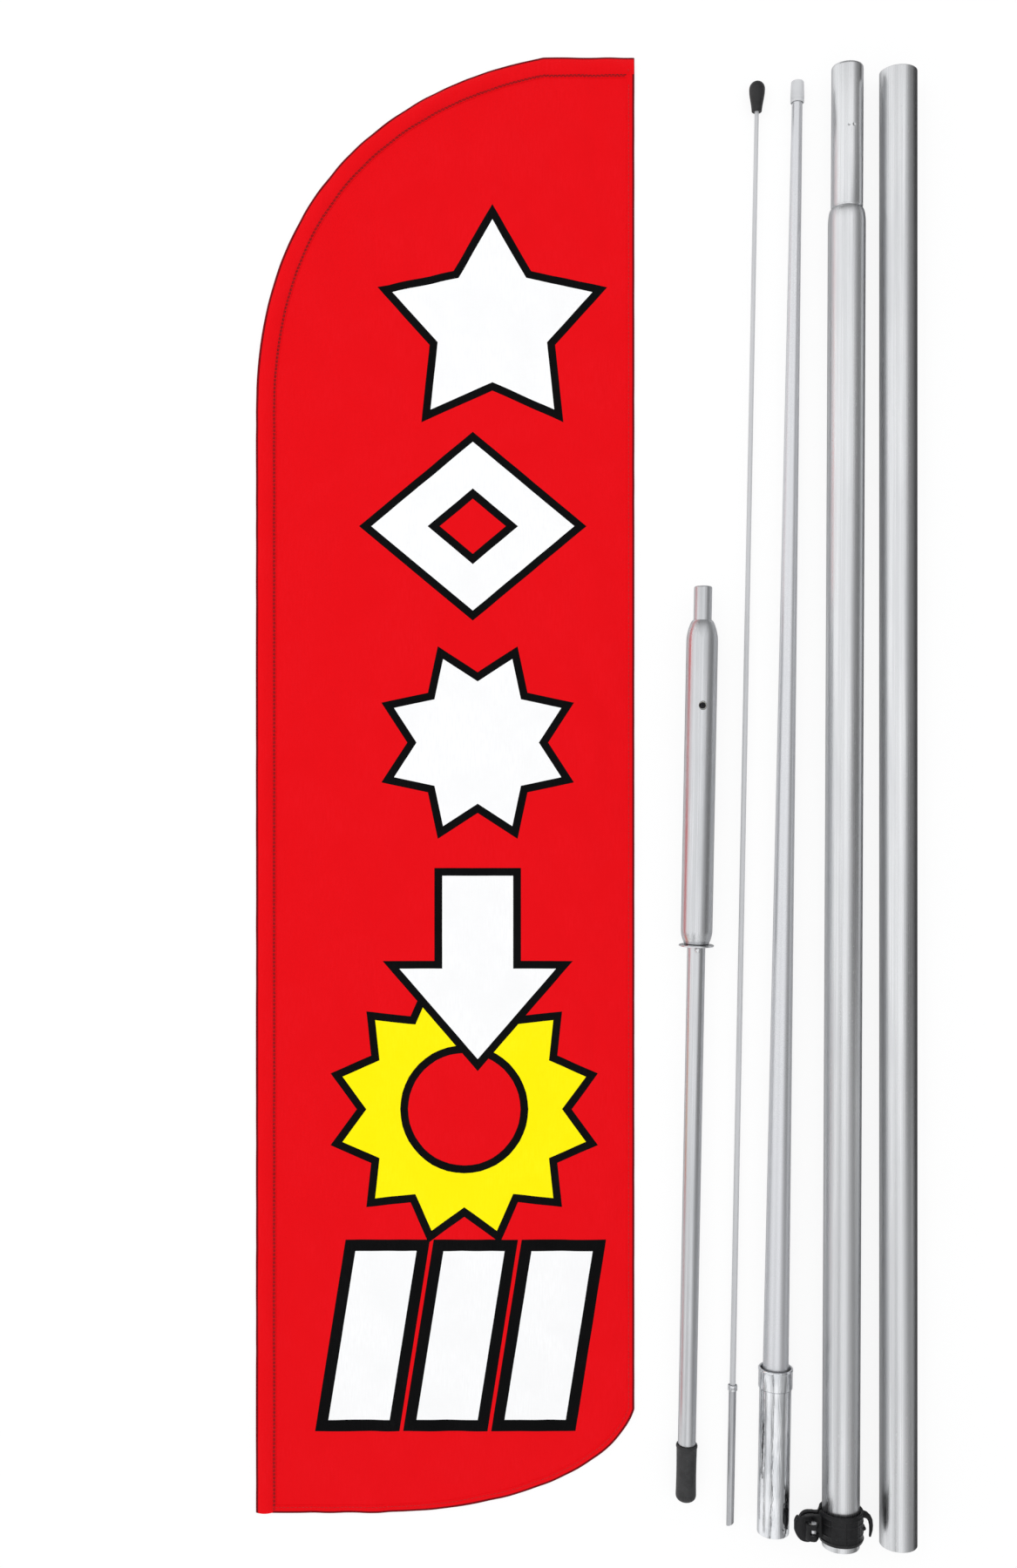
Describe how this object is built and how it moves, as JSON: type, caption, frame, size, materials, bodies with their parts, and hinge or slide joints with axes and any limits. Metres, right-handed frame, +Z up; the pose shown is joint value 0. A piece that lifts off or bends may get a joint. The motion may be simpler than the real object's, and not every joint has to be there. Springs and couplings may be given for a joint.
{
  "type": "feather flag with pole kit",
  "caption": "Feather-shaped printed flag with an arched top and a pole sleeve, laid beside its take-apart pole: tip rod, tapered, swaged and base sections and a ground stake.",
  "frame": {"origin": "middle of the laid-out kit's box, on the surface that it lies on", "axes": "+Y along the poles towards the top of the flag, +X across the kit from the flag to the base tube, +Z up from the surface"},
  "size_m": [0.5364, 1.2084, 0.0371],
  "materials": {
    "flag_cloth": "knitted polyester, satin",
    "pocket_patch": "stiff woven webbing",
    "stake_steel": "zinc plated, drawn",
    "nylon": "natural nylon",
    "black_screw": "black oxide",
    "black_rubber": "matt",
    "grey_fibreglass": "smooth pultruded",
    "tip_steel": "galvanised",
    "taper_tube_grey": "satin anodised",
    "grey_plastic": "moulded",
    "chrome": "polished",
    "tube_aluminium": "drawn, satin",
    "clamp_plastic": "moulded glass-filled nylon, semi gloss",
    "clamp_steel": "zinc plated"
  },
  "bodies": {
    "flag": {"flag_panel": "flag_cloth", "pole_sleeve": "flag_cloth", "tip_pocket": "pocket_patch"},
    "stake": {"spike_rod": "stake_steel", "cross_pin": "stake_steel"},
    "spindle": {"spindle_sleeve": "stake_steel", "upper_bush": "nylon", "lower_bush": "nylon", "retaining_screw": "black_screw"},
    "stake_washer": {"stake_washer": "stake_steel"},
    "point_guard": {"point_guard": "black_rubber"},
    "tip_section": {"flex_rod": "grey_fibreglass", "rod_ferrule": "tip_steel", "ferrule_ring": "tip_steel"},
    "tip_ball": {"tip_ball": "black_rubber"},
    "taper_section": {"taper_tube": "taper_tube_grey", "top_collar": "grey_plastic", "chrome_ferrule": "chrome", "ferrule_spacer": "nylon"},
    "swaged_section": {"swaged_tube": "tube_aluminium"},
    "clamp": {"clamp_collar": "clamp_plastic"},
    "draw_bolt": {"draw_bolt": "clamp_steel", "bolt_washer": "clamp_steel", "pivot_pin": "clamp_steel"},
    "lever": {"cam_lever": "clamp_plastic"},
    "base_section": {"base_tube": "tube_aluminium"}
  },
  "joints": [
    {"name": "stake_lift", "type": "slide", "parent": "flag", "child": "stake", "axis": [0, 0, 1], "range_m": [0, 0.15]},
    {"name": "tip_section_lift", "type": "slide", "parent": "flag", "child": "tip_section", "axis": [0, 0, 1], "range_m": [0, 0.15]},
    {"name": "taper_section_lift", "type": "slide", "parent": "flag", "child": "taper_section", "axis": [0, 0, 1], "range_m": [0, 0.15]},
    {"name": "swaged_section_lift", "type": "slide", "parent": "flag", "child": "swaged_section", "axis": [0, 0, 1], "range_m": [0, 0.15]},
    {"name": "base_section_lift", "type": "slide", "parent": "flag", "child": "base_section", "axis": [0, 0, 1], "range_m": [0, 0.15]},
    {"name": "spindle_spin", "type": "hinge", "parent": "stake", "child": "spindle", "pos_m": [0.09231, 0.01186, 0.01595], "axis": [0.0175, 0.9998, 0.0132], "continuous": true},
    {"name": "washer_spin", "type": "hinge", "parent": "stake", "child": "stake_washer", "pos_m": [0.09001, -0.12011, 0.01421], "axis": [0.0175, 0.9998, 0.0132], "continuous": true},
    {"name": "point_guard_pull", "type": "slide", "parent": "stake", "child": "point_guard", "axis": [-0.0175, -0.9998, -0.0132], "range_m": [0, 0.06]},
    {"name": "tip_ball_pull", "type": "slide", "parent": "tip_section", "child": "tip_ball", "axis": [0.0185, 0.9998, 0.0024], "range_m": [0, 0.03]},
    {"name": "clamp_slide", "type": "slide", "parent": "swaged_section", "child": "clamp", "axis": [0.0054, 1, -0.0034], "range_m": [-0.005, 1.035]},
    {"name": "bolt_draw", "type": "slide", "parent": "clamp", "child": "draw_bolt", "axis": [0, -0.0034, -1], "range_m": [0, 0.0012]},
    {"name": "lever_swing", "type": "hinge", "parent": "draw_bolt", "child": "lever", "pos_m": [0.18069, -0.58612, 0.03084], "axis": [0.0054, 1, -0.0034], "range_deg": [0, 110]}
  ],
  "couplings": [
    {"joint": "lever_swing", "follows": "bolt_draw", "rad_per_m": 1599.9}
  ]
}
